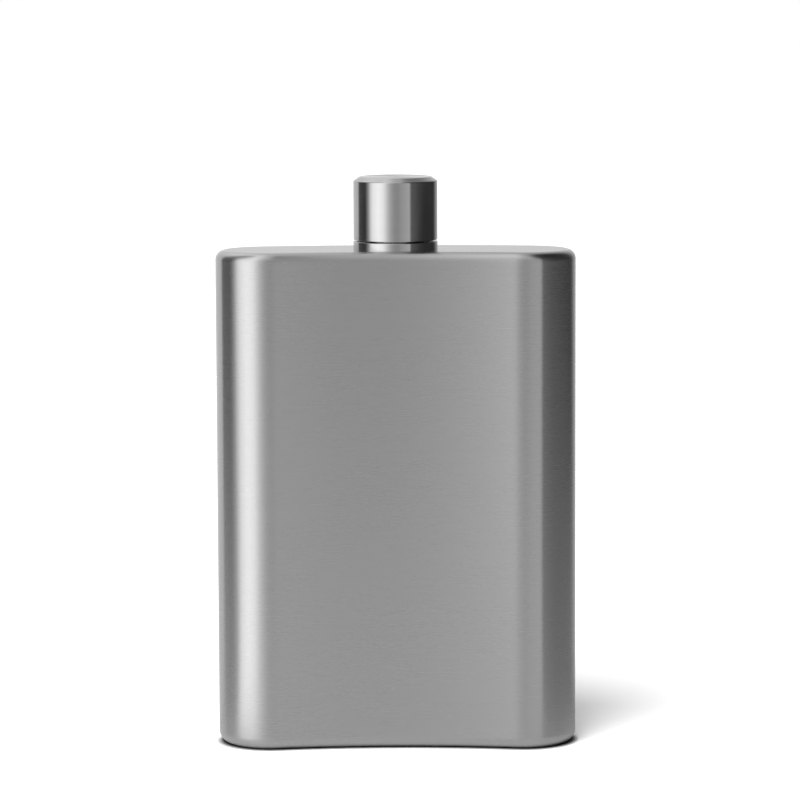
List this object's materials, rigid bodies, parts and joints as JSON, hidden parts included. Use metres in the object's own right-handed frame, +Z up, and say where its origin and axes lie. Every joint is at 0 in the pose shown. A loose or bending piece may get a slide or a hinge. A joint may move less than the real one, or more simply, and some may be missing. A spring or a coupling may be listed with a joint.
{
  "type": "hip flask",
  "caption": "Curved brushed-steel hip flask with softly rounded edges, a pressed base, a collared threaded neck and a plain polished screw cap with a sealing disc.",
  "frame": {"origin": "middle of the body's footprint, on the plane that the flask stands on", "axes": "+Z up the flask, +X across its width, -Y out of its hollow front wall"},
  "size_m": [0.088, 0.0286, 0.1393],
  "materials": {
    "brushed_body": "brushed round the body, satin",
    "polished_steel": "turned and polished",
    "turned_steel": "turned, with a rolled thread",
    "cap_core": "fine moulded",
    "seal": "matt silicone"
  },
  "bodies": {
    "flask": {"body_sleeve": "brushed_body", "top_plate": "brushed_body", "base_plate": "brushed_body", "neck_collar": "polished_steel", "spout": "turned_steel"},
    "seal": {"cap_seal": "seal"},
    "cap": {"cap_shell": "polished_steel", "cap_insert": "cap_core"}
  },
  "joints": [
    {"name": "cap_lift", "type": "slide", "parent": "flask", "child": "seal", "axis": [0, 0, 1], "range_m": [0, 0.0254]},
    {"name": "cap_turn", "type": "hinge", "parent": "seal", "child": "cap", "pos_m": [0, 0.0013, 0.12395], "axis": [0, 0, 1], "range_deg": [0, 2880]}
  ],
  "couplings": [
    {"joint": "cap_turn", "follows": "cap_lift", "rad_per_m": 1979}
  ]
}
